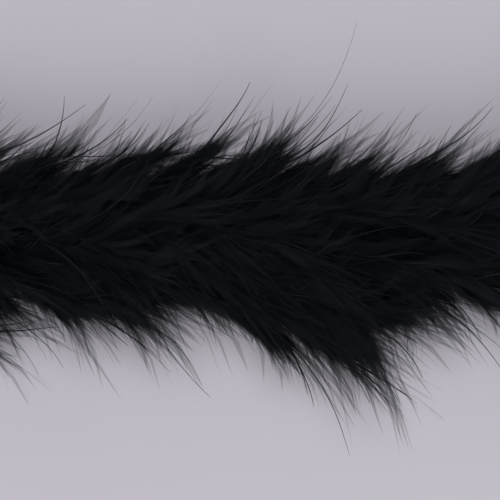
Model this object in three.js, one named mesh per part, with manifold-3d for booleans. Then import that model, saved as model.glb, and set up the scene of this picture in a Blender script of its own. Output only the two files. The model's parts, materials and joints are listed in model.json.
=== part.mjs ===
// A marabou feather boa laid on a table in an open horseshoe.
//
// Its spine is a twisted cord.  Whorls of down plumes are bound to the cord by a spiral of thread, and
// every plume leans the same way along the boa.  The boa is divided into equal segments that hinge on
// one another, so that the chain of segments bends as the soft cord does.
//
// Everything is drawn in the boa's own coordinates and then laid along its centreline: `along` is the
// distance from the left end, `out` is the distance from the cord's axis, and `turn` is the angle
// round the cord, 0 pointing left of the direction of travel and a quarter turn pointing up.

import * as THREE from 'three';
import { mergeVertices } from 'three/addons/utils/BufferGeometryUtils.js';
import Module from 'manifold-3d';

// Driving dimensions, in millimetres and degrees.
const SEGMENTS = 9;
const SEGMENT_LENGTH = 200;
const TIERS_PER_SEGMENT = 3;
const AXIS_HEIGHT = 40;             // the cord's axis above the table
const STRETCHES = [                 // the centreline: [length, turn to the left], from the left end
  [400, -20],
  [300, 92],
  [400, 0],
  [300, 98],
  [400, -26],
];

const CORD_RADIUS = 1.8;
const CORD_SIDES = 8;
const CORD_STEPS = 14;              // lengths of straight tube in one segment of the cord
const JOINT_GAP = 1.2;              // between two cord segments, so that they can hinge
const TAIL_LENGTH = 30;             // bare cord beyond the first and last segments
const KNOT_RADIUS = 4.2;
const KNOT_FROM_END = 8;            // from the knot's middle to the cut end of the cord

const COLLAR_BORE = 2.2;            // bound quill stubs, which the plumes grow out of
const COLLAR_RADIUS = 3.4;
const COLLAR_BACK = -9;             // the collar's back end, measured from the plumes' roots
const ROOT_LENGTH = 3;
const PLUMES_PER_TIER = 8;
const PLUME_THICKNESS = 1.2;
const PLUME_STATIONS = [            // along and out from the root, the vane's width and its lean
  { along: 5, out: 9, width: 1.8, lean: 60 },
  { along: 25, out: 40, width: 16, lean: 52 },
  { along: 50, out: 60, width: 4, lean: 40 },
];
const TUFT_TIERS = [13, 14];        // right of the middle, where the outward plumes are longer
const TUFT_EXTRA = 0.3;             // as a share of a plume's usual length

const THREAD_RADIUS = 0.5;
const THREAD_SIDES = 6;
const THREAD_HELIX_RADIUS = 4.6;
const THREAD_TURNS = 1;             // whole turns from one tier to the next
const THREAD_STEPS = 33;            // lengths of straight tube in one segment of the thread
const THREAD_END_GAP = 4;           // from each end of the segment to the thread's end
const CLEAR_BEFORE_ROOT = 8;        // the thread runs straight between two plumes over this stretch
const CLEAR_AFTER_ROOT = 12;

const WHIPPING_BORE = 2.15;
const WHIPPING_RADIUS = 3.1;
const WHIPPING_GROOVE = 0.35;
const WHIPPING_COILS = 4;
const WHIPPING_PITCH = 2.4;
const WHIPPING_SIDES = 12;
const WHIPPING_START = 5;           // from the first or last segment to the whipping

const LENGTH = SEGMENTS * SEGMENT_LENGTH;
const TIER_PITCH = SEGMENT_LENGTH / TIERS_PER_SEGMENT;
const PLUME_STEP = (2 * Math.PI) / PLUMES_PER_TIER;
const STRAIGHT_DOWN = -Math.PI / 2;
const { degToRad } = THREE.MathUtils;

const CORD_MATERIAL = new THREE.MeshStandardMaterial({ color: 0x17161a, roughness: 0.8 });
const THREAD_MATERIAL = new THREE.MeshStandardMaterial({ color: 0x0d0d10, roughness: 0.7 });
const PLUME_MATERIAL = new THREE.MeshStandardMaterial({ color: 0x1a1a1f, roughness: 0.9 });

// ---------------------------------------------------------------- the centreline on the table

/** The direction of travel at the start, which makes the middle stretch run along +X. */
function startHeading() {
  const before = STRETCHES.slice(0, 2).reduce((sum, [, turn]) => sum + turn, 0);
  return -degToRad(before);
}

/** The centreline's point and heading at a distance along it.  It runs on straight past both ends. */
function centreline(along) {
  const state = { x: 0, y: 0, heading: startHeading() };
  let left = along;
  STRETCHES.forEach(([length, turn], index) => {
    const last = index === STRETCHES.length - 1;
    const done = Math.min(Math.max(left, 0), length);
    advance(state, done, (degToRad(turn) * done) / length);
    if (last && left > length) advance(state, left - length, 0);
    if (index === 0 && left < 0) advance(state, left, 0);
    left -= length;
  });
  return state;
}

/** Moves a point on by a length along an arc that turns by an angle. */
function advance(state, length, turn) {
  const chord = turn === 0 ? length : (length * Math.sin(turn / 2)) / (turn / 2);
  state.x += chord * Math.cos(state.heading + turn / 2);
  state.y += chord * Math.sin(state.heading + turn / 2);
  state.heading += turn;
}

/** A point given in the boa's own coordinates. */
function place(along, out, turn) {
  const { x, y, heading } = centreline(along);
  const aside = out * Math.cos(turn);
  return new THREE.Vector3(
    x - aside * Math.sin(heading),
    y + aside * Math.cos(heading),
    AXIS_HEIGHT + out * Math.sin(turn),
  );
}

/** A line given in the boa's own coordinates, for sweeping a tube along. */
class BoaPath extends THREE.Curve {
  constructor(from, to, outAndTurn) {
    super();
    Object.assign(this, { from, to, outAndTurn });
  }

  getPoint(share) {
    const along = THREE.MathUtils.lerp(this.from, this.to, share);
    return place(along, ...this.outAndTurn(along));
  }
}

/** A tube of a given number of sides along a path. */
function tube(path, radius, sides, steps) {
  const section = new THREE.Shape();
  for (let side = 0; side < sides; side += 1) {
    const turn = (2 * Math.PI * side) / sides;
    const corner = [radius * Math.cos(turn), radius * Math.sin(turn)];
    if (side === 0) section.moveTo(...corner);
    else section.lineTo(...corner);
  }
  section.closePath();
  return new THREE.ExtrudeGeometry(section, { steps, bevelEnabled: false, extrudePath: path });
}

// ---------------------------------------------------------------- joining with manifold-3d

const wasm = await Module();
wasm.setup();

/** A closed geometry as a manifold solid. */
function asSolid(geometry) {
  const bare = geometry.clone();
  bare.deleteAttribute('normal');
  bare.deleteAttribute('uv');
  const merged = mergeVertices(bare, 1e-4);
  return new wasm.Manifold(new wasm.Mesh({
    numProp: 3,
    vertProperties: new Float32Array(merged.getAttribute('position').array),
    triVerts: new Uint32Array(merged.getIndex().array),
  }));
}

/** Two closed geometries joined into one. */
function joined(first, second) {
  const mesh = asSolid(first).add(asSolid(second)).getMesh();
  return geometryOf(Array.from(mesh.vertProperties), Array.from(mesh.triVerts));
}

/** A geometry from flat lists of coordinates and of triangle corners. */
function geometryOf(positions, triangles) {
  const geometry = new THREE.BufferGeometry();
  geometry.setAttribute('position', new THREE.Float32BufferAttribute(positions, 3));
  geometry.setIndex(triangles);
  geometry.computeVertexNormals();
  return geometry;
}

// ---------------------------------------------------------------- the sub-parts' shapes

/** One segment of the spine cord.  The first and last also have a bare tail that ends in a knot. */
function cordSegment(segment) {
  const first = segment === 0;
  const last = segment === SEGMENTS - 1;
  const from = first ? -TAIL_LENGTH : segment * SEGMENT_LENGTH + JOINT_GAP / 2;
  const to = last ? LENGTH + TAIL_LENGTH : (segment + 1) * SEGMENT_LENGTH - JOINT_GAP / 2;
  const cord = tube(new BoaPath(from, to, () => [0, 0]), CORD_RADIUS, CORD_SIDES, CORD_STEPS);
  if (!first && !last) return cord;
  const knot = new THREE.SphereGeometry(KNOT_RADIUS, 10, 8);
  const middle = place(first ? from + KNOT_FROM_END : to - KNOT_FROM_END, 0, 0);
  knot.translate(middle.x, middle.y, middle.z);
  return joined(cord, knot);
}

/** How far a tier's plumes are turned round the cord.  Every other tier is turned by half a step. */
function tierTurn(tier) {
  return STRAIGHT_DOWN + (tier % 2 === 0 ? PLUME_STEP / 2 : 0);
}

/** How far along the boa a tier's plumes are rooted. */
function tierRoot(tier) {
  return (tier + 0.5) * TIER_PITCH;
}

/** How long a plume is, as a share of the usual.  The tuft's plumes that point outward are longer. */
function plumeScale(tier, turn) {
  const outward = Math.max(0, -Math.cos(turn));
  return TUFT_TIERS.includes(tier) ? 1 + TUFT_EXTRA * outward : 1;
}

/**
 * One plume's cross-sections, each with four corners: two on the side that faces back and out, and
 * two on the side that faces forward and in.  Plumes that would reach the table lie flat on it.
 */
function plumeSections(tier, turn) {
  const scale = plumeScale(tier, turn);
  return PLUME_STATIONS.map(({ along, out, width, lean }) => {
    const back = (PLUME_THICKNESS / 2) * Math.sin(degToRad(lean));
    const up = (PLUME_THICKNESS / 2) * Math.cos(degToRad(lean));
    const corner = (side, aside, floor) => {
      const reach = scale * out + side * up;
      const turned = turn + aside * Math.atan2(width / 2, reach);
      const middle = tierRoot(tier) + scale * along;
      const point = place(middle - side * back, Math.hypot(reach, width / 2), turned);
      point.z = Math.max(point.z, floor);
      return point;
    };
    return [
      corner(1, -1, 0),
      corner(1, 1, 0),
      corner(-1, 1, PLUME_THICKNESS),
      corner(-1, -1, PLUME_THICKNESS),
    ];
  });
}

/** A whorl of plumes growing out of a collar of bound quill stubs. */
function featherTier(tier) {
  const positions = [];
  const triangles = [];
  const add = (point) => positions.push(point.x, point.y, point.z) / 3 - 1;
  const quad = (a, b, c, d) => triangles.push(a, b, c, a, c, d);

  const root = tierRoot(tier);
  const sides = 2 * PLUMES_PER_TIER;
  const firstSide = tierTurn(tier) - PLUME_STEP / 4;
  const ring = (along, out) => Array.from({ length: sides }, (_, side) => (
    add(place(root + along, out, firstSide + (side * PLUME_STEP) / 2))
  ));
  const outer = [COLLAR_BACK, 0, ROOT_LENGTH].map((along) => ring(along, COLLAR_RADIUS));
  const inner = [COLLAR_BACK, ROOT_LENGTH].map((along) => ring(along, COLLAR_BORE));

  for (let side = 0; side < sides; side += 1) {
    const next = (side + 1) % sides;
    const [outBack, outRoot, outFront] = outer.map((around) => [around[side], around[next]]);
    const [inBack, inFront] = inner.map((around) => [around[side], around[next]]);
    quad(outBack[0], outBack[1], outRoot[1], outRoot[0]);
    quad(inBack[0], inFront[0], inFront[1], inBack[1]);
    quad(inBack[0], inBack[1], outBack[1], outBack[0]);
    quad(inFront[0], outFront[0], outFront[1], inFront[1]);

    let section = [outRoot[0], outRoot[1], outFront[1], outFront[0]];
    if (side % 2 === 0) {
      const turn = firstSide + ((side + 0.5) * PLUME_STEP) / 2;
      plumeSections(tier, turn).forEach((corners) => {
        const beyond = corners.map(add);
        section.forEach((corner, index) => {
          const after = (index + 1) % section.length;
          quad(corner, section[after], beyond[after], beyond[index]);
        });
        section = beyond;
      });
    }
    quad(...section);
  }
  return geometryOf(positions, triangles);
}

/** The thread's angle round the cord: once round from tier to tier, and straight past the plumes. */
function threadTurn(along) {
  const tier = Math.floor(along / TIER_PITCH - 0.5);
  const past = along - tierRoot(tier) - CLEAR_AFTER_ROOT;
  const wound = THREE.MathUtils.clamp(past / (TIER_PITCH - CLEAR_BEFORE_ROOT - CLEAR_AFTER_ROOT), 0, 1);
  const gapTurn = (index) => tierTurn(index) + PLUME_STEP / 2 + 2 * Math.PI * THREAD_TURNS * index;
  return THREE.MathUtils.lerp(gapTurn(tier), gapTurn(tier + 1), wound);
}

/** One segment of the thread that binds the quills to the cord. */
function bindingThread(segment) {
  const path = new BoaPath(
    segment * SEGMENT_LENGTH + THREAD_END_GAP,
    (segment + 1) * SEGMENT_LENGTH - THREAD_END_GAP,
    (along) => [THREAD_HELIX_RADIUS, threadTurn(along)],
  );
  return tube(path, THREAD_RADIUS, THREAD_SIDES, THREAD_STEPS);
}

/** The tight wrap of thread that stops the cord's end from coming untwisted. */
function endWhipping() {
  const length = WHIPPING_COILS * WHIPPING_PITCH;
  const profile = [new THREE.Vector2(WHIPPING_BORE, 0)];
  for (let coil = 0; coil < WHIPPING_COILS; coil += 1) {
    const start = coil * WHIPPING_PITCH;
    profile.push(new THREE.Vector2(WHIPPING_RADIUS - WHIPPING_GROOVE, start));
    profile.push(new THREE.Vector2(WHIPPING_RADIUS, start + WHIPPING_PITCH / 2));
  }
  profile.push(new THREE.Vector2(WHIPPING_RADIUS - WHIPPING_GROOVE, length));
  profile.push(new THREE.Vector2(WHIPPING_BORE, length));
  profile.push(new THREE.Vector2(WHIPPING_BORE, 0));
  return new THREE.LatheGeometry(profile, WHIPPING_SIDES);
}

// ---------------------------------------------------------------- the assembly

const boa = new THREE.Group();

/** Adds a named mesh to the boa. */
function addMesh(name, geometry, material) {
  const mesh = new THREE.Mesh(geometry, material);
  mesh.name = name;
  boa.add(mesh);
  return mesh;
}

for (let segment = 0; segment < SEGMENTS; segment += 1) {
  addMesh(`core_cord_${segment + 1}`, cordSegment(segment), CORD_MATERIAL);
  addMesh(`binding_thread_${segment + 1}`, bindingThread(segment), THREAD_MATERIAL);
  for (let tier = 0; tier < TIERS_PER_SEGMENT; tier += 1) {
    const name = `feather_tier_${segment + 1}${'abc'[tier]}`;
    addMesh(name, featherTier(segment * TIERS_PER_SEGMENT + tier), PLUME_MATERIAL);
  }
}

[
  ['end_whipping_left', -WHIPPING_START, Math.PI],
  ['end_whipping_right', LENGTH + WHIPPING_START, 0],
].forEach(([name, along, reversed]) => {
  const whipping = addMesh(name, endWhipping(), THREAD_MATERIAL);
  whipping.position.copy(place(along, 0, 0));
  whipping.rotation.z = centreline(along).heading + reversed - Math.PI / 2;
});

// The origin is on the table, under the middle of the horseshoe's outline.
const outline = new THREE.Box3().setFromObject(boa);
const middle = outline.getCenter(new THREE.Vector3());
boa.position.set(-middle.x, -middle.y, 0);

export default boa;
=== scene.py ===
"""A black marabou feather boa: a twisted cord, plumes of down bound to it by thread, and knotted ends.

Every piece is drawn in the boa's own straight coordinates and then laid along its centreline:
`along` is the distance from the left end, `aside` is to the left of the direction of travel, and
`up` is above the cord's axis.  Lengths are in metres.
"""

import json
import math

import bpy
import numpy as np
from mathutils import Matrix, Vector


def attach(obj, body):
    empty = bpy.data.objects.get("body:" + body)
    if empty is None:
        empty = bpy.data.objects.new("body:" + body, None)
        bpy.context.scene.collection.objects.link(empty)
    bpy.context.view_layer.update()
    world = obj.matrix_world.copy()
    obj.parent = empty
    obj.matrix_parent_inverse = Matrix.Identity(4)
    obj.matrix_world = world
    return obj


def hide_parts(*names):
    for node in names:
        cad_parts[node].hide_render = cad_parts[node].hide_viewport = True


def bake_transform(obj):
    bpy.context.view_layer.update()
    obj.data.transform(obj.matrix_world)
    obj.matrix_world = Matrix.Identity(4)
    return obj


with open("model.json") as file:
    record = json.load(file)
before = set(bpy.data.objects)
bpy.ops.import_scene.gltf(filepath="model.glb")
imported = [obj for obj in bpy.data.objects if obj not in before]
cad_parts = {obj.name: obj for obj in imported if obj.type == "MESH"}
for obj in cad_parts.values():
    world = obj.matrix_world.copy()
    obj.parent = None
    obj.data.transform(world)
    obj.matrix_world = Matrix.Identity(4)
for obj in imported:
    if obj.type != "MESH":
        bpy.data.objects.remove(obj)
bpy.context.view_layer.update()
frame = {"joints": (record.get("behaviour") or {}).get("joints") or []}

# ------------------------------------------------------------------ driving dimensions, as in CAD

JOINTS = {joint["name"]: joint for joint in frame["joints"]}
SEGMENTS = len(JOINTS) + 1
SEGMENT = 0.2
LENGTH = SEGMENTS * SEGMENT
TIERS_PER_SEGMENT = 3
STRETCHES = [(0.4, -20), (0.3, 92), (0.4, 0), (0.3, 98), (0.4, -26)]  # length, degrees to the left
FIRST_HEADING = -72.0  # degrees, so that the middle stretch runs along +X
TAIL = 0.030  # bare cord beyond the first and last segments
KNOT_FROM_END = 0.008
CORD_RADIUS = 0.0018
WHIPPING_START = 0.005
WHIPPING_LENGTH = 0.0096

KNOWN_JOINT = 4  # the centreline is placed by the joint after this segment
KNOWN_POINT = JOINTS[f"bend_{KNOWN_JOINT}_{KNOWN_JOINT + 1}"]["pos_m"]
AXIS_HEIGHT = KNOWN_POINT[2]

# ------------------------------------------------------------------ the centreline

ROUTE_STEP = 0.001
BEYOND_ENDS = 0.15  # how far the route runs on past each end
ROUTE_ALONG = np.arange(-BEYOND_ENDS, LENGTH + BEYOND_ENDS, ROUTE_STEP)


def centreline_route():
    """The centreline's x, y and heading at every point of ROUTE_ALONG."""
    ends = np.cumsum([0.0] + [length for length, _ in STRETCHES])
    turned = np.cumsum([FIRST_HEADING] + [turn for _, turn in STRETCHES])
    heading = np.radians(np.interp(ROUTE_ALONG, ends, turned))
    middle = (heading[1:] + heading[:-1]) / 2
    x = np.concatenate([[0.0], np.cumsum(np.cos(middle)) * ROUTE_STEP])
    y = np.concatenate([[0.0], np.cumsum(np.sin(middle)) * ROUTE_STEP])
    known = KNOWN_JOINT * SEGMENT
    x += KNOWN_POINT[0] - np.interp(known, ROUTE_ALONG, x)
    y += KNOWN_POINT[1] - np.interp(known, ROUTE_ALONG, y)
    return x, y, heading


ROUTE_X, ROUTE_Y, ROUTE_HEADING = centreline_route()


def lay(along, aside, up):
    """Points in the row frame from points in the boa's own coordinates, as one array."""
    heading = np.interp(along, ROUTE_ALONG, ROUTE_HEADING)
    x = np.interp(along, ROUTE_ALONG, ROUTE_X) - aside * np.sin(heading)
    y = np.interp(along, ROUTE_ALONG, ROUTE_Y) + aside * np.cos(heading)
    z = AXIS_HEIGHT + up + 0 * heading
    return np.stack([x, y, z], axis=-1)


def stretches_of_body():
    """Each stretch of the visual model: its name, its limits along the boa and the bodies it follows.

    The stretches run from the middle of one segment to the middle of the next, so that each crosses
    one joint.  The first and last are the ends, which ride on one body.
    """
    stretches = [("left", -TAIL, SEGMENT / 2, ["segment_1"])]
    for index in range(1, SEGMENTS):
        low = (index - 0.5) * SEGMENT
        bodies = [f"segment_{index}", f"segment_{index + 1}"]
        stretches.append((f"{index}_{index + 1}", low, low + SEGMENT, bodies))
    stretches.append(("right", LENGTH - SEGMENT / 2, LENGTH + TAIL, [f"segment_{SEGMENTS}"]))
    return stretches


def follow(piece, bodies):
    """Makes a piece ride on its one body; a piece between two bodies only has its placement baked into
    its mesh.
    """
    if len(bodies) == 1:
        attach(piece, bodies[0])
        return
    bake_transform(piece)


def nodes_between(kind, low, high):
    """The names of the CAD nodes that a stretch of the visual model stands for, of one kind.

    A tier belongs to the stretch that it is rooted in, and a length of cord or thread to the stretch
    that its half towards the boa's nearer end lies in.
    """
    names = []
    for segment in range(SEGMENTS):
        outer_half = 1 / 4 if segment < SEGMENTS / 2 else 3 / 4
        if kind == "feather_tier":
            for tier in range(TIERS_PER_SEGMENT):
                middle = (segment + (tier + 0.5) / TIERS_PER_SEGMENT) * SEGMENT
                if low <= middle < high:
                    names.append(f"feather_tier_{segment + 1}{'abc'[tier]}")
        elif low <= (segment + outer_half) * SEGMENT < high:
            names.append(f"{kind}_{segment + 1}")
    return names


# ------------------------------------------------------------------ mesh building


def mesh_object(name, points, quads, materials, material_of_face=None):
    """A smooth mesh object from arrays of points and of four corners for each face."""
    mesh = bpy.data.meshes.new(name)
    mesh.vertices.add(len(points))
    mesh.vertices.foreach_set("co", points.astype(np.float32).ravel())
    mesh.loops.add(quads.size)
    mesh.loops.foreach_set("vertex_index", quads.astype(np.int32).ravel())
    mesh.polygons.add(len(quads))
    mesh.polygons.foreach_set("loop_start", np.arange(len(quads), dtype=np.int32) * 4)
    for material in materials:
        mesh.materials.append(material)
    if material_of_face is not None:
        mesh.polygons.foreach_set("material_index", material_of_face.astype(np.int32))
    mesh.polygons.foreach_set("use_smooth", np.ones(len(quads), dtype=bool))
    mesh.update(calc_edges=True)
    piece = bpy.data.objects.new(name, mesh)
    bpy.context.scene.collection.objects.link(piece)
    return piece


def unit(vectors):
    """The vectors made one long."""
    return vectors / np.linalg.norm(vectors, axis=-1, keepdims=True)


NEARLY_UPRIGHT = 0.9  # the upward part of a direction above which it counts as upright


def frames_along(lines):
    """Tangents and two crosswise directions along lines, turning as little as they can."""
    tangent = unit(np.gradient(lines, axis=1))
    first = np.empty_like(tangent)
    start = tangent[:, 0]
    level = np.abs(start[:, 2:]) < NEARLY_UPRIGHT
    helper = np.where(level, [[0.0, 0.0, 1.0]], [[1.0, 0.0, 0.0]])
    first[:, 0] = unit(np.cross(start, helper))
    for step in range(1, lines.shape[1]):
        before = first[:, step - 1]
        slip = np.sum(before * tangent[:, step], axis=1, keepdims=True)
        first[:, step] = unit(before - slip * tangent[:, step])
    return tangent, first, np.cross(tangent, first)


def tube_mesh(lines, radii, sides):
    """Points and quads of tubes round lines: lines is (tubes, steps, 3), radii is (tubes, steps)."""
    tubes, steps, _ = lines.shape
    _, first, second = frames_along(lines)
    turn = np.arange(sides)[:, None] * 2 * math.pi / sides
    ring = first[:, :, None] * np.cos(turn) + second[:, :, None] * np.sin(turn)
    points = lines[:, :, None] + ring * radii[:, :, None, None]
    index = np.arange(tubes * steps * sides).reshape(tubes, steps, sides)
    beside = np.roll(index, -1, axis=2)
    quads = np.stack([index[:, :-1], beside[:, :-1], beside[:, 1:], index[:, 1:]], axis=-1)
    return points.reshape(-1, 3), quads.reshape(-1, 4)


# ------------------------------------------------------------------ materials

LOCK_NOISE = 90.0  # cycles of noise in a metre, about one to a lock
DIM_SHINE = (0.3, 0.3, 0.36)
FULL_SHINE = (1.0, 0.98, 1.0)
DYE_COARSENESS = 6  # how many times coarser the dye's noise is than the fibres'
SPUN_SPECULAR = 0.3
FIBRE_BUMP = 0.0002  # the height of the raised fibres
FIBRE_BUMP_STRENGTH = 0.6


def new_material(name):
    """A material, with its node tree and its Principled node."""
    material = bpy.data.materials.new(name)
    material.use_nodes = True
    tree = material.node_tree
    return material, tree, tree.nodes["Principled BSDF"]


def noise(tree, scale, detail=4.0, roughness=0.6):
    """A noise texture in the piece's own coordinates."""
    where = tree.nodes.new("ShaderNodeTexCoord")
    texture = tree.nodes.new("ShaderNodeTexNoise")
    texture.inputs["Scale"].default_value = scale
    texture.inputs["Detail"].default_value = detail
    texture.inputs["Roughness"].default_value = roughness
    tree.links.new(where.outputs["Object"], texture.inputs["Vector"])
    return texture


def ramp(tree, source, low, high):
    """A colour ramp over a value, from one (position, colour) stop to another."""
    node = tree.nodes.new("ShaderNodeValToRGB")
    for element, (position, colour) in zip(node.color_ramp.elements, (low, high)):
        element.position = position
        element.color = (*colour, 1)
    tree.links.new(source, node.inputs["Fac"])
    return node


def down_material(name, colour, roughness, specular, alpha):
    """Down of one shade: dull fibres whose faint shine changes from lock to lock."""
    material, tree, shader = new_material(name)
    shader.inputs["Base Color"].default_value = (*colour, 1)
    shader.inputs["Roughness"].default_value = roughness
    shader.inputs["Specular IOR Level"].default_value = specular
    shader.inputs["Alpha"].default_value = alpha
    locks = noise(tree, LOCK_NOISE)
    tint = ramp(tree, locks.outputs["Fac"], (0.35, DIM_SHINE), (0.65, FULL_SHINE))
    tree.links.new(tint.outputs["Color"], shader.inputs["Specular Tint"])
    return material


def spun_material(name, dark, light, roughness, fibre_scale, sheen):
    """Spun fibre: uneven black dye, rough, with fine raised fibres."""
    material, tree, shader = new_material(name)
    shader.inputs["Sheen Weight"].default_value = sheen
    shader.inputs["Specular IOR Level"].default_value = SPUN_SPECULAR
    dye = noise(tree, fibre_scale / DYE_COARSENESS)
    colour = ramp(tree, dye.outputs["Fac"], (0.3, dark), (0.7, light))
    tree.links.new(colour.outputs["Color"], shader.inputs["Base Color"])
    fibres = noise(tree, fibre_scale, detail=6.0, roughness=0.7)
    rough = ramp(tree, fibres.outputs["Fac"], (0.3, (roughness,) * 3), (0.7, (1.0,) * 3))
    tree.links.new(rough.outputs["Color"], shader.inputs["Roughness"])
    bump = tree.nodes.new("ShaderNodeBump")
    bump.inputs["Strength"].default_value = FIBRE_BUMP_STRENGTH
    bump.inputs["Distance"].default_value = FIBRE_BUMP
    tree.links.new(fibres.outputs["Fac"], bump.inputs["Height"])
    tree.links.new(bump.outputs["Normal"], shader.inputs["Normal"])
    return material


# ------------------------------------------------------------------ the core cord, knots and thread

PLIES = 3
PLY_RADIUS = CORD_RADIUS * 0.464  # of three round plies that touch each other inside the cord's circle
PLY_OFFSET = CORD_RADIUS - PLY_RADIUS  # from the cord's axis to a ply's
TWIST_PITCH = 0.013  # along the cord for one turn of its plies
PLY_SIDES = 8
CORD_STEP = 0.0015
PATH_POINTS = 26  # points in each stretch of the cord's route

THREAD_RADIUS = 0.00022
THREAD_SIDES = 6
THREAD_HELIX_RADIUS = 0.0030
THREAD_PITCH = 0.0026  # along the cord for one turn of the thread
THREAD_STEPS_PER_TURN = 12
THREAD_PHASE = 100  # where round the cord a stretch of thread starts, in radians for each metre along

WHIPPING_THREAD = 0.00045  # the radius of the heavier thread round each end
WHIPPING_HELIX_RADIUS = 0.0025

KNOT_SCALE = 0.0017  # the size of the knot's unit, which its measures below are in
KNOT_HEIGHT = 1.15  # how far its strands rise and fall to pass each other
KNOT_OPENING = 1.6  # how far the knot's two ends are drawn apart
KNOT_DROP = 1.5  # how far its ends leave to the side of its middle
KNOT_LEAD = 4.4  # where the cord comes back to its own axis
KNOT_STEPS = 120
LEAD_STEPS = 12  # steps in each of the two stretches that lead into and out of it

FRAY_SEED = 5
FRAY_FIBRES = 90
FRAY_LENGTH = (0.006, 0.011)
FRAY_RADIUS = 0.00009
FRAY_SIDES = 4
FRAY_STEPS = 6
FRAY_FILL = 0.8  # how much of the cord's cross-section the fibres start from
FRAY_SPREAD = (0.1, 0.5)  # how far out a fibre's tip strays, as a share of its length
FRAY_CURVE = 1.6  # how late along its length a fibre strays outwards
FRAY_BEND = 0.6  # how far round the cord its tip strays, in radians
FRAY_SAG = 0.0015
FRAY_INSET = 0.001  # how far inside the cord's end the fibres start


def plied(line):
    """The plies of a twisted cord that follows a line, as lines."""
    step = np.linalg.norm(np.diff(line, axis=0), axis=1)
    run = np.concatenate([[0.0], np.cumsum(step)])
    _, first, second = frames_along(line[None])
    plies = []
    for ply in range(PLIES):
        turn = (run / TWIST_PITCH + ply / PLIES)[:, None] * 2 * math.pi
        plies.append(line + PLY_OFFSET * (np.cos(turn) * first[0] + np.sin(turn) * second[0]))
    return np.stack(plies)


def cord_piece(name, line, material):
    """A stretch of twisted cord along a line."""
    plies = plied(line)
    points, quads = tube_mesh(plies, np.full(plies.shape[:2], PLY_RADIUS), PLY_SIDES)
    piece = mesh_object(name, points, quads, [material])
    return piece


def helix(start, end, radius, pitch, phase):
    """A helix round the cord's axis from one place along it to another."""
    turns = abs(end - start) / pitch
    steps = int(turns * THREAD_STEPS_PER_TURN)
    share = np.linspace(0, 1, steps + 1)
    turn = phase + share * turns * 2 * math.pi
    return lay(start + share * (end - start), radius * np.cos(turn), radius * np.sin(turn))


def thread_piece(name, line, radius, material):
    """A stretch of thread along a line."""
    points, quads = tube_mesh(line[None], np.full((1, len(line)), radius), THREAD_SIDES)
    piece = mesh_object(name, points, quads, [material])
    return piece


def build_cords(cord, thread):
    """The core cord and the thread that binds the quills to it, in one piece for each stretch.
    """
    tail = TAIL - KNOT_FROM_END - KNOT_LEAD * KNOT_SCALE
    for name, low, high, bodies in stretches_of_body():
        low = max(low, -tail)
        high = min(high, LENGTH + tail)
        line = lay(np.arange(low, high + CORD_STEP / 2, CORD_STEP), 0, 0)
        piece = cord_piece(f"cord_{name}", line, cord)
        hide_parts(*nodes_between("core_cord", low, high))
        follow(piece, bodies)
        path = lay(np.linspace(low, high, PATH_POINTS), 0, 0)
        if name == "left":
            path = path[::-1]
        phase = low * THREAD_PHASE
        line = helix(max(low, 0), min(high, LENGTH), THREAD_HELIX_RADIUS, THREAD_PITCH, phase)
        piece = thread_piece(f"thread_{name}", line, THREAD_RADIUS, thread)
        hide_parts(*nodes_between("binding_thread", low, high))
        follow(piece, bodies)


def knot_line():
    """An overhand knot from its lead-in to its lead-out: outward, aside and up, in its own units."""
    turn = np.linspace(math.pi, 3 * math.pi, KNOT_STEPS)
    share = turn / math.pi - 2
    outward = np.sin(turn) + 2 * np.sin(2 * turn) + KNOT_OPENING * share**3
    aside = np.cos(turn) - 2 * np.cos(2 * turn) + 3 - KNOT_DROP
    up = -KNOT_HEIGHT * np.sin(3 * turn)
    lead = np.linspace(0, 1, LEAD_STEPS)[:-1]
    ease = KNOT_DROP * (1 - np.cos(math.pi * lead)) / 2
    lead_in = np.stack([-KNOT_LEAD + lead * (KNOT_LEAD - KNOT_OPENING), -ease, 0 * lead], axis=1)
    lead_out = np.stack([-lead_in[::-1, 0], lead_in[::-1, 1], 0 * lead], axis=1)
    loop = np.stack([outward, aside, up], axis=1)
    return np.concatenate([lead_in, loop, lead_out])


def build_end(side, end, outward, body, cord, thread):
    """One end of the boa: a whipping, an overhand knot and a frayed tail beyond it."""
    rng = np.random.default_rng(FRAY_SEED + int(end))
    middle = end + outward * (TAIL - KNOT_FROM_END)
    loop = knot_line() * KNOT_SCALE
    line = lay(middle + outward * loop[:, 0], loop[:, 1], loop[:, 2])
    knot = cord_piece(f"knot_{side}", line, cord)

    start = end + outward * WHIPPING_START
    finish = start + outward * WHIPPING_LENGTH
    line = helix(start, finish, WHIPPING_HELIX_RADIUS, 2 * WHIPPING_THREAD, 0)
    whipping = thread_piece(f"whipping_{side}", line, WHIPPING_THREAD, thread)
    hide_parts(f"end_whipping_{side}")

    each = (FRAY_FIBRES, 1)
    share = np.linspace(0, 1, FRAY_STEPS)[None]
    length = rng.uniform(*FRAY_LENGTH, each)
    facing = rng.uniform(0, 2 * math.pi, each)
    radius = CORD_RADIUS * np.sqrt(rng.uniform(0, FRAY_FILL, each))
    spread = radius + length * rng.uniform(*FRAY_SPREAD, each) * share**FRAY_CURVE
    bend = facing + rng.normal(0, FRAY_BEND, each) * share
    beyond = middle + outward * (KNOT_LEAD * KNOT_SCALE - FRAY_INSET + length * share)
    fibres = lay(beyond, spread * np.cos(bend), spread * np.sin(bend) - FRAY_SAG * share**2)
    points, quads = tube_mesh(fibres, np.full(fibres.shape[:2], FRAY_RADIUS), FRAY_SIDES)
    fray = mesh_object(f"fray_{side}", points, quads, [cord])
    for piece in (knot, whipping, fray):
        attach(piece, body)
    return [knot, whipping, fray]


# ------------------------------------------------------------------ the plumes of down

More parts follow.
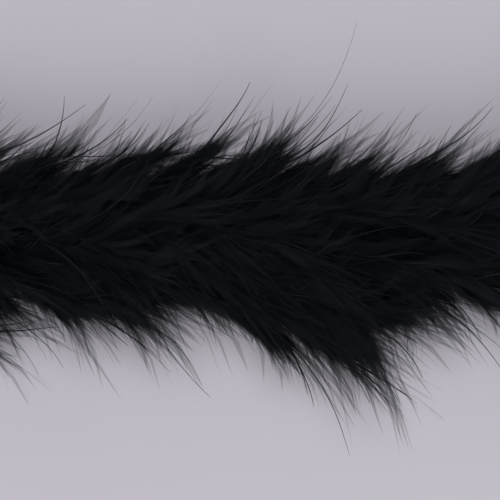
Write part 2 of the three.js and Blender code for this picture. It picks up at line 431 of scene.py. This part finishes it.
PLUMES = 1500
TUFT_PLUMES = 36  # extra ones, in the named tufts
LAST_PLUME = LENGTH - 0.022  # where the last one is bound
GOLDEN_TURN = math.pi * (3 - math.sqrt(5))  # round the cord from one plume to the next
TURN_SCATTER = 0.3  # radians
PLUME_LENGTH = (0.035, 0.053)
PLUME_LEANS = (62.0, 22.0)  # degrees from the cord, at the root and at the tip
PLUME_SWING = 0.35  # how far round the cord a plume's tip strays from its root, in radians
PLUME_SEAT = 0.0005  # a plume's root above the cord

STUB_LENGTH = 0.008
STUB_SEAT = 0.0004  # a stub's axis above the cord
QUILL_RADIUS = 0.00045
QUILL_TAPER = 0.8  # how much of its radius a quill loses by its tip
QUILL_SIDES = 4
QUILL_STEPS = 6

# A plume's barbs gather in locks, which lean and turn together.
LOCKS_PER_PLUME = 5
LOCK_LENGTH = (0.016, 0.037)
LOCK_LEANS = (24.0, 54.0)  # degrees from the cord, at the root and at the tip
LOCK_LEAN_SCATTER = (9.0, 13.0)  # degrees, at the root and at the tip
LOCK_SIDE_SCATTER = 0.95  # how far a lock turns to the side of its plume, in radians
LOCK_CROWDING = 0.7  # below one, locks crowd towards the plume's tip
LOCK_GAIN = 0.5  # how much of a plume's extra length its locks share

# The kinds of barb.  One lock in `every` has `count` of them, drawn in `steps` steps.  `length` is the
# range of their lengths as shares of the lock's, and a `bias` above one makes short ones commoner.
# They lean out `lift` degrees more than the lock.  They start anywhere from `inmost` of the lock's
# distance along the plume up to all of it, and wave to the side by about `sway` metres.
BARB_KINDS = {
    "hair": dict(
        every=1, count=11, steps=6, length=(0.4, 1.2), bias=1.2, lift=0.0, inmost=1.0, sway=0.0012
    ),
    "wisp": dict(
        every=4, count=4, steps=12, length=(1.0, 2.1), bias=1.5, lift=-2.0, inmost=1.0, sway=0.0022
    ),
    "fluff": dict(
        every=1, count=10, steps=3, length=(0.65, 1.6), bias=1.3, lift=4.0, inmost=1.0, sway=0.0012
    ),
    "under": dict(
        every=1, count=12, steps=3, length=(0.4, 0.9), bias=1.0, lift=0.0, inmost=0.1, sway=0.0012
    ),
}
BARB_SPACING = 0.10  # scatter of where a lock's barbs start, as a share of the plume
NEAREST_ROOT = 0.02  # no barb starts nearer the plume's root than this share of it
BARB_SIDE_SCATTER = 0.25  # radians
BARB_LEAN_SCATTER = (7.0, 9.0)  # degrees, at the root and at the tip
BARB_WAVES = (4, 5)  # radians of wave along a barb, sideways and outwards
BARB_SAG = 0.05  # how far a barb's tip sags, as a share of its length

FINE_SHARE = 0.5  # how many of the hairs are fine ones
FINE_WIDTH = (0.00011, 0.00018)
HAIR_WIDTH = (0.00016, 0.0003)
WISP_WIDTH = (0.00040, 0.0008)
HALO_WIDTH = (0.0006, 0.0021)
FLUFF_WIDTH = (0.0018, 0.0038)
UNDER_WIDTH = (0.0030, 0.0060)
STRAND_TAPER = 0.75  # how much of its width a hair or wisp loses by its tip
TIP_SHARE = 0.02  # the width that a soft ribbon keeps at its tip, as a share
HALO_TIP_SHARE = 0.01
TWIST_TILT = 0.8  # how far a ribbon's face tilts along the row's up axis

# The shades of down: name, colour, roughness, specular level and alpha.
BARB_SHADES = [
    ("down_black", (0.0086, 0.0102, 0.0128), 0.75, 0.08, 1.0),
    ("down_soot", (0.0122, 0.0142, 0.0172), 0.70, 0.10, 1.0),
    # The palest shade, on a few hairs at random, is partly the down's own uneven tone and partly
    # painted highlight: it stands in for the faint light streaks along the fibres.
    ("down_smoke_and_highlight", (0.0180, 0.0205, 0.0240), 0.70, 0.12, 1.0),
]
BARB_SHADE_SHARES = (0.62, 0.32, 0.06)  # how many of the hairs have each shade
BARBULE_SHADE = ("down_barbules", (0.0096, 0.0112, 0.0140), 0.85, 0.08, 0.3)

TABLE_SOFTNESS = 0.007  # barbs within this height of the table bend flat along it
TABLE_CLEARANCE = 0.0010
LOWEST = 0.0002  # no edge of a barb is nearer the table than this
TOP_START = 0.088  # barbs above this height bend over ...
TOP_LIMIT = 0.112  # ... and come no higher than this
REACH_START = 0.088  # the same to either side of the cord's axis
REACH_LIMIT = 0.107
END_START = LENGTH + 0.018  # and the same beyond the boa's right end
END_LIMIT = LENGTH + 0.046

# Tufts where the plumes stand further out: along, turn round the cord, extra length, size along.
# A negative extra length is a hollow.
TUFTS = [
    (0.898, math.pi, 0.38, 0.020),
    (0.868, math.pi, 0.22, 0.020),
    (0.904, math.pi, 0.26, 0.008),
    (0.814, math.pi, 0.14, 0.009),
    (0.770, 0.0, 0.10, 0.014),
    (0.850, 0.0, 0.12, 0.016),
    (0.895, 0.0, -0.14, 0.016),
    (0.930, 0.0, -0.14, 0.024),
    (0.834, math.pi, -0.20, 0.016),
    (0.964, math.pi, -0.24, 0.022),
]
TUFT_LIFT = 18.0  # degrees that the plumes of a tuft lean out more, when it is twice as long

# Places where the wisps are longer, or shorter, given in the same way.
LONG_WISPS = [
    (0.880, 0.0, 0.24, 0.065),
    (0.850, 0.0, 0.45, 0.014),
    (0.876, math.pi, 0.50, 0.018),
    (0.840, math.pi, -0.25, 0.030),
]
WISP_LIFT = 24.0  # degrees that a wisp's tip leans out more, where it is twice as long

TUFT_TURN = 0.8  # how far a tuft reaches round the cord, in radians
TUFT_SCATTER = (0.6, 0.5)  # of a tuft's plumes: along, as a share of its size, and in radians round
RANDOM_TUFTS = 60
RANDOM_EXTRA = (0.1, 0.5)
RANDOM_SIZE = (0.01, 0.03)
NAMED_ONLY = (0.74, 1.04)  # the length of the boa that has the named tufts and no random ones


def all_tufts(rng):
    """The named tufts, and random ones over the rest of the boa."""
    tufts = list(TUFTS)
    for _ in range(RANDOM_TUFTS):
        along = rng.uniform(0.0, LENGTH)
        turn = rng.uniform(0, 2 * math.pi)
        extra = rng.uniform(*RANDOM_EXTRA)
        size = rng.uniform(*RANDOM_SIZE)
        if not NAMED_ONLY[0] < along < NAMED_ONLY[1]:
            tufts.append((along, turn, extra, size))
    return tufts


def tuft_gain(along, turn, tufts):
    """How much longer than usual the down is at each place, as a share."""
    gain = np.zeros_like(along)
    for at, facing, extra, size in tufts:
        apart = np.angle(np.exp(1j * (turn - facing)))
        gain += extra * np.exp(-(((along - at) / size) ** 2) - (apart / TUFT_TURN) ** 2)
    return gain


NO_CHANGE = 1e-6  # keeps a straight arc from dividing by nothing


def arc(length, leans, share):
    """How far arcs run along and rise by a share of their length, as their lean changes evenly."""
    first, last = np.radians(leans)
    change = last - first + NO_CHANGE
    lean = first + change * share
    run = length * (np.sin(lean) - np.sin(first)) / change
    rise = length * (np.cos(first) - np.cos(lean)) / change
    return run, rise


def shaft_point(plume, share):
    """Where each plume's shaft is at a share of its length: along, out from the axis, and turn."""
    lift = TUFT_LIFT * plume["gain"]
    run, rise = arc(plume["length"], (PLUME_LEANS[0] + lift, PLUME_LEANS[1] + lift), share)
    turn = plume["turn"] + plume["swing"] * share
    return plume["along"] + run, CORD_RADIUS + PLUME_SEAT + rise, turn


def make_plumes(rng, tufts):
    """Where each plume is bound, which way it faces and its length."""
    index = np.arange(PLUMES)
    along = (index + rng.uniform(0, 1, PLUMES)) * LAST_PLUME / PLUMES
    turn = index * GOLDEN_TURN + rng.normal(0, TURN_SCATTER, PLUMES)
    at, facing, extra, size = np.array(TUFTS).T
    fullness = np.clip(extra, 0, None)
    tuft = rng.choice(len(TUFTS), TUFT_PLUMES, p=fullness / fullness.sum())
    along = np.append(along, at[tuft] + size[tuft] * rng.normal(0, TUFT_SCATTER[0], TUFT_PLUMES))
    turn = np.append(turn, facing[tuft] + rng.normal(0, TUFT_SCATTER[1], TUFT_PLUMES))
    turn %= 2 * math.pi
    gain = tuft_gain(along, turn, tufts)
    length = rng.uniform(*PLUME_LENGTH, len(along)) * (1 + gain)
    return {
        "along": along,
        "turn": turn,
        "length": length,
        "gain": gain,
        "wisp_gain": tuft_gain(along, turn, LONG_WISPS),
        "swing": rng.normal(0, PLUME_SWING, len(along)),
    }


def eased(value, start, limit):
    """Values past start eased in, so that they never pass limit."""
    room = limit - start
    return np.where(value > start, limit - room * np.exp(-(value - start) / room), value)


def laid_inside(along, aside, up):
    """Points on the table's upper side and within the boa's outline, in the row frame."""
    height = -eased(-(up + AXIS_HEIGHT), -TABLE_SOFTNESS, 0) + TABLE_CLEARANCE
    height = eased(height, TOP_START, TOP_LIMIT)
    aside = np.sign(aside) * eased(np.abs(aside), REACH_START, REACH_LIMIT)
    return lay(eased(along, END_START, END_LIMIT), aside, height - AXIS_HEIGHT)


def make_locks(rng, plumes):
    """The locks that a plume's barbs gather in: where each starts and which way it grows."""
    count = len(plumes["along"]) * LOCKS_PER_PLUME
    plume = {key: np.repeat(value, LOCKS_PER_PLUME) for key, value in plumes.items()}
    lift = TUFT_LIFT * plume["gain"]
    return {
        "plume": plume,
        "share": rng.uniform(0.0, 1.0, count) ** LOCK_CROWDING,
        "side": rng.normal(0, LOCK_SIDE_SCATTER, count),
        "length": rng.uniform(*LOCK_LENGTH, count) * (1 + LOCK_GAIN * plume["gain"]),
        "first_lean": rng.normal(LOCK_LEANS[0], LOCK_LEAN_SCATTER[0], count) + lift,
        "last_lean": rng.normal(LOCK_LEANS[1], LOCK_LEAN_SCATTER[1], count) + lift,
    }


def steps_of(kind):
    """The steps along a barb of one kind, from 0 at its root to 1 at its tip."""
    return np.linspace(0, 1, BARB_KINDS[kind]["steps"] + 1)


def make_barbs(rng, locks, kind):
    """The barbs of one kind in the locks, each a line in the row frame."""
    barb = BARB_KINDS[kind]
    lock = np.repeat(np.arange(0, len(locks["share"]), barb["every"]), barb["count"])
    count = len(lock)
    plume = {key: value[lock] for key, value in locks["plume"].items()}
    share = locks["share"][lock] * rng.uniform(barb["inmost"], 1, count)
    share = np.clip(share + rng.normal(0, BARB_SPACING, count), NEAREST_ROOT, 1.0)
    base_along, base_out, turn = (value[:, None] for value in shaft_point(plume, share))
    side = (locks["side"][lock] + rng.normal(0, BARB_SIDE_SCATTER, count))[:, None]
    shortest, longest = barb["length"]
    gain = shortest + (longest - shortest) * rng.uniform(0, 1, count) ** barb["bias"]
    longer = plume["wisp_gain"] if kind == "wisp" else np.zeros(count)
    length = (locks["length"][lock] * gain * (1 + longer))[:, None]
    first_scatter, last_scatter = BARB_LEAN_SCATTER
    first_lean = locks["first_lean"][lock] + rng.normal(0, first_scatter, count) + barb["lift"]
    last_lean = locks["last_lean"][lock] + rng.normal(0, last_scatter, count) + barb["lift"]
    leans = (first_lean[:, None], (last_lean + WISP_LIFT * longer)[:, None])
    steps = steps_of(kind)
    run, rise = arc(length, leans, steps)

    phase = rng.uniform(0, 2 * math.pi, (count, 2))
    sway = rng.normal(0, barb["sway"], (count, 2))
    wave_aside = sway[:, :1] * np.sin(phase[:, :1] + BARB_WAVES[0] * steps) * steps
    wave_out = sway[:, 1:] * np.sin(phase[:, 1:] + BARB_WAVES[1] * steps) * steps
    sideways = rise * np.sin(side) + wave_aside
    out = base_out + rise * np.cos(side) + wave_out
    aside = out * np.cos(turn) - sideways * np.sin(turn)
    up = out * np.sin(turn) + sideways * np.cos(turn) - BARB_SAG * length * steps**2
    return {
        "lines": laid_inside(base_along + run, aside, up),
        "bound": plume["along"],
        "twist": rng.uniform(0, math.pi, count),
    }


def ribbon_mesh(barbs, width):
    """Points and quads of a thin ribbon along each barb, of a width at each of its steps."""
    lines = barbs["lines"]
    count, steps, _ = lines.shape
    tangent = unit(np.gradient(lines, axis=1))
    twist = barbs["twist"]
    helper = np.stack([np.cos(twist), np.sin(twist), TWIST_TILT * np.cos(3 * twist)], axis=1)
    across = unit(np.cross(tangent, helper[:, None]))
    offset = across * width[:, :, None] / 2
    points = np.stack([lines - offset, lines + offset], axis=2)
    points[..., 2] = np.maximum(points[..., 2], LOWEST)
    index = np.arange(count * steps * 2).reshape(count, steps, 2)
    quads = np.stack(
        [index[:, :-1, 0], index[:, :-1, 1], index[:, 1:, 1], index[:, 1:, 0]], axis=-1
    )
    return points.reshape(-1, 3), quads.reshape(-1, 4)


def picked(barbs, chosen):
    """The chosen barbs only."""
    return {key: value[chosen] for key, value in barbs.items()}


def make_strands(rng, plumes):
    """The ribbons of the coat, barbs and soft barbules apart, with their widths and shades."""
    locks = make_locks(rng, plumes)
    hairs = make_barbs(rng, locks, "hair")
    count = len(hairs["bound"])
    fine = rng.uniform(0, 1, count) < FINE_SHARE
    width = np.where(fine, rng.uniform(*FINE_WIDTH, count), rng.uniform(*HAIR_WIDTH, count))
    hairs["width"] = width[:, None] * (1 - STRAND_TAPER * steps_of("hair") ** 2)
    # Each hair gets a shade at random; the palest of them is partly painted highlight.
    hairs["shade"] = rng.choice(len(BARB_SHADES), count, p=BARB_SHADE_SHARES)

    wisps = make_barbs(rng, locks, "wisp")
    count = len(wisps["bound"])
    width = rng.uniform(*WISP_WIDTH, count)
    wisps["width"] = width[:, None] * (1 - STRAND_TAPER * steps_of("wisp") ** 2)
    wisps["shade"] = np.zeros(count, dtype=int)
    halos = dict(wisps)
    halos["width"] = rng.uniform(*HALO_WIDTH, count)[:, None] * (1 + HALO_TIP_SHARE - steps_of("wisp"))

    soft = [halos]
    for kind, widths in (("fluff", FLUFF_WIDTH), ("under", UNDER_WIDTH)):
        barbs = make_barbs(rng, locks, kind)
        outline = np.sqrt(1 - steps_of(kind) ** 2) + TIP_SHARE
        barbs["width"] = rng.uniform(*widths, len(barbs["bound"]))[:, None] * outline
        soft.append(barbs)
    return [hairs, wisps], soft


def strands_piece(name, groups, low, high, materials):
    """One piece made of the strands, of every group, that are bound in a stretch of the boa."""
    points, quads, faces, count = [], [], [], 0
    for group in groups:
        near = picked(group, (group["bound"] >= low) & (group["bound"] < high))
        more_points, more_quads = ribbon_mesh(near, near["width"])
        shade = near.get("shade", np.zeros(len(near["bound"]), dtype=int))
        points.append(more_points)
        quads.append(more_quads + count)
        faces.append(np.repeat(shade, near["width"].shape[1] - 1))
        count += len(more_points)
    piece = mesh_object(
        name, np.concatenate(points), np.concatenate(quads), materials, np.concatenate(faces)
    )
    return piece


def build_down(rng, plumes):
    """The coat of down: for each stretch, one piece of barbs and one of their soft barbules."""
    shades = [down_material(*shade) for shade in BARB_SHADES]
    fuzz = down_material(*BARBULE_SHADE)
    barbs, barbules = make_strands(rng, plumes)
    for name, low, high, bodies in stretches_of_body():
        piece = strands_piece(f"down_{name}", barbs, low, high, shades)
        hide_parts(*nodes_between("feather_tier", low, high))
        follow(piece, bodies)
        piece = strands_piece(f"fuzz_{name}", barbules, low, high, [fuzz])
        follow(piece, bodies)


def build_quills(plumes):
    """The plumes' shafts, with the stubs that lie along the cord under the thread."""
    quill = spun_material(
        "quill",
        dark=(0.004, 0.004, 0.005),
        light=(0.010, 0.010, 0.013),
        roughness=0.6,
        fibre_scale=900.0,
        sheen=0.03,
    )
    shares = np.linspace(0, 1, QUILL_STEPS)
    on_cord = np.full(len(plumes["along"]), CORD_RADIUS + STUB_SEAT)
    stub = plumes["along"] - STUB_LENGTH, on_cord, plumes["turn"]
    stations = [stub] + [shaft_point(plumes, share) for share in shares]
    along, out, turn = (np.stack(values, axis=1) for values in zip(*stations))
    lines = laid_inside(along, out * np.cos(turn), out * np.sin(turn))
    radius = QUILL_RADIUS * np.concatenate([[1.0], 1 - QUILL_TAPER * shares])
    for name, low, high, bodies in stretches_of_body():
        chosen = (plumes["along"] >= low) & (plumes["along"] < high)
        radii = np.tile(radius, (chosen.sum(), 1))
        points, quads = tube_mesh(lines[chosen], radii, QUILL_SIDES)
        piece = mesh_object(f"quills_{name}", points, quads, [quill])
        follow(piece, bodies)


# ------------------------------------------------------------------ stage, light and camera

VIEW_WIDTH = 0.225  # how much of the boa the picture's width takes in
ELEVATION = 76.0  # degrees above the table
LENS = 85.0
SENSOR = 36.0
AIM_ASIDE = -0.0073
CLIP_START = 0.01

TABLE_HALF = 20.0  # half the length of the table's side
TABLE_DROP = 0.0002  # how far the table top lies below the row's floor
TABLE_DARK = (0.495, 0.468, 0.526)
TABLE_LIGHT = (0.515, 0.488, 0.543)
TABLE_NOISE = 6.0  # cycles of noise in a metre
TABLE_ROUGHNESS = 0.85
TABLE_SPECULAR = 0.2

WORLD_COLOUR = (1.0, 0.90, 0.985)
WORLD_STRENGTH = 0.26
# Each area light's name, place, size, power and colour.
LIGHTS = [
    ("key", (-0.2, -1.9, 1.9), 1.4, 34.5, (0.965, 0.995, 0.975)),
    ("overhead", (0.1, -0.2, 2.4), 1.2, 28.5, (0.965, 0.995, 0.985)),
]


def build_camera():
    """A camera above and in front of the middle run, looking down on it."""
    target = lay(np.array([LENGTH / 2]), np.array([AIM_ASIDE]), np.array([0.0]))[0]
    angle = math.radians(ELEVATION)
    back = Vector((0, -math.cos(angle), math.sin(angle)))
    camera = bpy.data.objects.new("camera", bpy.data.cameras.new("camera"))
    camera.data.lens = LENS
    camera.data.sensor_width = SENSOR
    camera.data.clip_start = CLIP_START
    camera.location = Vector(target) + back * VIEW_WIDTH * LENS / SENSOR
    camera.rotation_euler = (-back).to_track_quat("-Z", "Y").to_euler()
    bpy.context.scene.collection.objects.link(camera)
    bpy.context.scene.camera = camera


def build_floor():
    """A plain pale lilac-grey table top."""
    corners = [(-1, -1, 0), (1, -1, 0), (1, 1, 0), (-1, 1, 0)]
    material, tree, shader = new_material("table")
    shader.inputs["Roughness"].default_value = TABLE_ROUGHNESS
    shader.inputs["Specular IOR Level"].default_value = TABLE_SPECULAR
    mottle = noise(tree, TABLE_NOISE, detail=3.0, roughness=0.5)
    colour = ramp(tree, mottle.outputs["Fac"], (0.3, TABLE_DARK), (0.7, TABLE_LIGHT))
    tree.links.new(colour.outputs["Color"], shader.inputs["Base Color"])
    points = TABLE_HALF * np.array(corners)
    floor = mesh_object("table", points, np.array([[0, 1, 2, 3]]), [material])
    floor.location.z = -TABLE_DROP


def area_light(name, location, size, power, colour):
    """A square area light that points at the middle of the table."""
    light = bpy.data.objects.new(name, bpy.data.lights.new(name, "AREA"))
    light.data.size = size
    light.data.energy = power
    light.data.color = colour
    light.location = location
    light.rotation_euler = (-Vector(location)).to_track_quat("-Z", "Y").to_euler()
    bpy.context.scene.collection.objects.link(light)


def build_light():
    """Soft studio light, mostly from the front, so that a soft shadow falls behind the boa."""
    world = bpy.data.worlds.new("studio")
    world.use_nodes = True
    background = world.node_tree.nodes["Background"]
    background.inputs["Color"].default_value = (*WORLD_COLOUR, 1)
    background.inputs["Strength"].default_value = WORLD_STRENGTH
    bpy.context.scene.world = world
    for light in LIGHTS:
        area_light(*light)
    bpy.context.scene.view_settings.view_transform = "Standard"


# ------------------------------------------------------------------ the whole boa

COAT_SEED = 11


def build_boa():
    """Every piece of the boa, on its bodies."""
    rng = np.random.default_rng(COAT_SEED)
    plumes = make_plumes(rng, all_tufts(rng))
    cord = spun_material(
        "cord_fibre",
        dark=(0.010, 0.0095, 0.011),
        light=(0.030, 0.028, 0.032),
        roughness=0.75,
        fibre_scale=1500.0,
        sheen=0.25,
    )
    thread = spun_material(
        "thread_fibre",
        dark=(0.006, 0.006, 0.007),
        light=(0.016, 0.015, 0.018),
        roughness=0.5,
        fibre_scale=2500.0,
        sheen=0.25,
    )
    ends = {
        "left": build_end("left", 0.0, -1, "segment_1", cord, thread),
        "right": build_end("right", LENGTH, 1, f"segment_{SEGMENTS}", cord, thread),
    }
    build_cords(cord, thread)
    build_quills(plumes)
    build_down(rng, plumes)


build_camera()
build_floor()
build_light()
build_boa()
